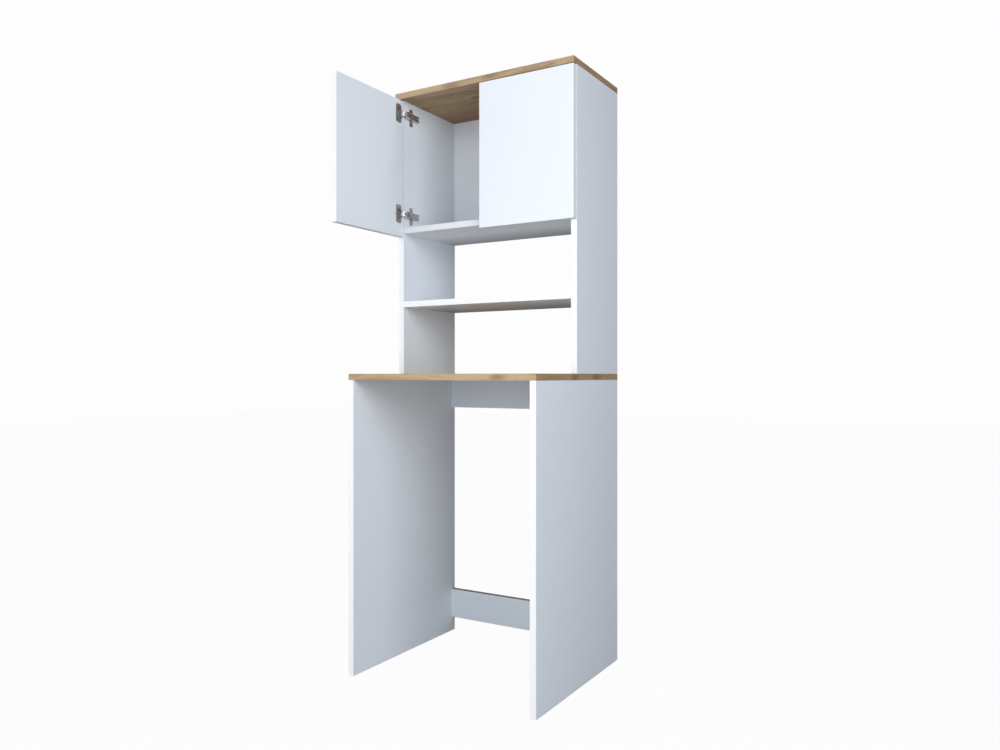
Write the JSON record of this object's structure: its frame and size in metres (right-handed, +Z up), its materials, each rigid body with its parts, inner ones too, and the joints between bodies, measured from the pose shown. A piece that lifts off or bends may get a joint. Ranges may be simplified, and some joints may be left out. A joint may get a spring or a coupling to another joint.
{
  "type": "washing machine cabinet",
  "caption": "Tall over-washer cabinet: open bay for a machine below, open shelves above and a cupboard with handleless hinged doors on top.",
  "frame": {"origin": "on the floor, under the middle of the space that the cabinet covers with its left door open at a right angle, as it is stored", "axes": "+X to the right as one faces the doors, +Y to the rear, +Z up"},
  "size_m": [0.65, 0.626, 1.84],
  "materials": {
    "white_melamine": "white melamine-faced chipboard, fine pearl texture, satin",
    "oak_decor": "oak decor foil, matt, fine pores along the grain",
    "hardboard": "white-lacquered hardboard, matt",
    "nickel_steel": "nickel-plated pressed steel, satin",
    "zinc_steel": "bright zinc-plated",
    "beech": "raw beech, fluted"
  },
  "bodies": {
    "carcass": {"base_side_left": "white_melamine", "base_side_right": "white_melamine", "worktop": "oak_decor", "rail_upper": "white_melamine", "rail_lower": "white_melamine", "upper_side_left": "white_melamine", "upper_side_right": "white_melamine", "mid_shelf": "white_melamine", "cupboard_floor": "white_melamine", "top_panel": "oak_decor", "back_panel": "hardboard", "hinge_plate_left_upper": "nickel_steel", "hinge_plate_left_lower": "nickel_steel", "hinge_plate_right_upper": "nickel_steel", "hinge_plate_right_lower": "nickel_steel", "hinge_arm_left_upper": "nickel_steel", "hinge_arm_left_lower": "nickel_steel", "hinge_arm_right_upper": "nickel_steel", "hinge_arm_right_lower": "nickel_steel", "cam_mid_shelf_left": "zinc_steel", "cam_bolt_mid_shelf_left": "zinc_steel", "cam_mid_shelf_right": "zinc_steel", "cam_bolt_mid_shelf_right": "zinc_steel", "cam_cupboard_floor_left": "zinc_steel", "cam_bolt_cupboard_floor_left": "zinc_steel", "cam_cupboard_floor_right": "zinc_steel", "cam_bolt_cupboard_floor_right": "zinc_steel", "cam_rail_upper_left": "zinc_steel", "cam_bolt_rail_upper_left": "zinc_steel", "cam_rail_upper_right": "zinc_steel", "cam_bolt_rail_upper_right": "zinc_steel", "cam_rail_lower_left": "zinc_steel", "cam_bolt_rail_lower_left": "zinc_steel", "cam_rail_lower_right": "zinc_steel", "cam_bolt_rail_lower_right": "zinc_steel", "top_screw_left_front": "zinc_steel", "worktop_screw_left_front": "zinc_steel", "top_screw_left_rear": "zinc_steel", "worktop_screw_left_rear": "zinc_steel", "worktop_dowel_left": "beech", "top_screw_right_front": "zinc_steel", "worktop_screw_right_front": "zinc_steel", "top_screw_right_rear": "zinc_steel", "worktop_screw_right_rear": "zinc_steel", "worktop_dowel_right": "beech"},
    "left_inner_links": {"hinge_inner_link_left_upper": "nickel_steel", "hinge_inner_link_left_lower": "nickel_steel"},
    "left_outer_links": {"hinge_outer_link_left_upper": "nickel_steel", "hinge_outer_link_left_lower": "nickel_steel"},
    "left_door": {"door_left": "white_melamine", "hinge_cup_left_upper": "nickel_steel", "hinge_cup_left_lower": "nickel_steel"},
    "right_inner_links": {"hinge_inner_link_right_upper": "nickel_steel", "hinge_inner_link_right_lower": "nickel_steel"},
    "right_outer_links": {"hinge_outer_link_right_upper": "nickel_steel", "hinge_outer_link_right_lower": "nickel_steel"},
    "right_door": {"door_right": "white_melamine", "hinge_cup_right_upper": "nickel_steel", "hinge_cup_right_lower": "nickel_steel"}
  },
  "joints": [
    {"name": "left_door_swing", "type": "hinge", "parent": "left_inner_links", "child": "left_door", "pos_m": [-0.3075, 0.0005, 1.6085], "axis": [0, 0, -1], "range_deg": [-126, 7]},
    {"name": "left_inner_link_turn", "type": "hinge", "parent": "carcass", "child": "left_inner_links", "pos_m": [-0.2974, 0.01654, 1.6085], "axis": [0, 0, 1], "range_deg": [-36, 2]},
    {"name": "left_outer_link_turn", "type": "hinge", "parent": "carcass", "child": "left_outer_links", "pos_m": [-0.29027, 0.00811, 1.6085], "axis": [0, 0, 1], "range_deg": [-37.8, 2.1]},
    {"name": "right_door_swing", "type": "hinge", "parent": "right_inner_links", "child": "right_door", "pos_m": [0.315, 0.0095, 1.6085], "axis": [0, 0, 1], "range_deg": [0, 133]},
    {"name": "right_inner_link_turn", "type": "hinge", "parent": "carcass", "child": "right_inner_links", "pos_m": [0.2974, 0.01654, 1.6085], "axis": [0, 0, -1], "range_deg": [0, 38]},
    {"name": "right_outer_link_turn", "type": "hinge", "parent": "carcass", "child": "right_outer_links", "pos_m": [0.29027, 0.00811, 1.6085], "axis": [0, 0, -1], "range_deg": [0, 39.9]}
  ],
  "couplings": [
    {"joint": "left_inner_link_turn", "follows": "left_door_swing", "ratio": 0.28571},
    {"joint": "left_outer_link_turn", "follows": "left_door_swing", "ratio": 0.3},
    {"joint": "right_inner_link_turn", "follows": "right_door_swing", "ratio": 0.28571},
    {"joint": "right_outer_link_turn", "follows": "right_door_swing", "ratio": 0.3}
  ]
}
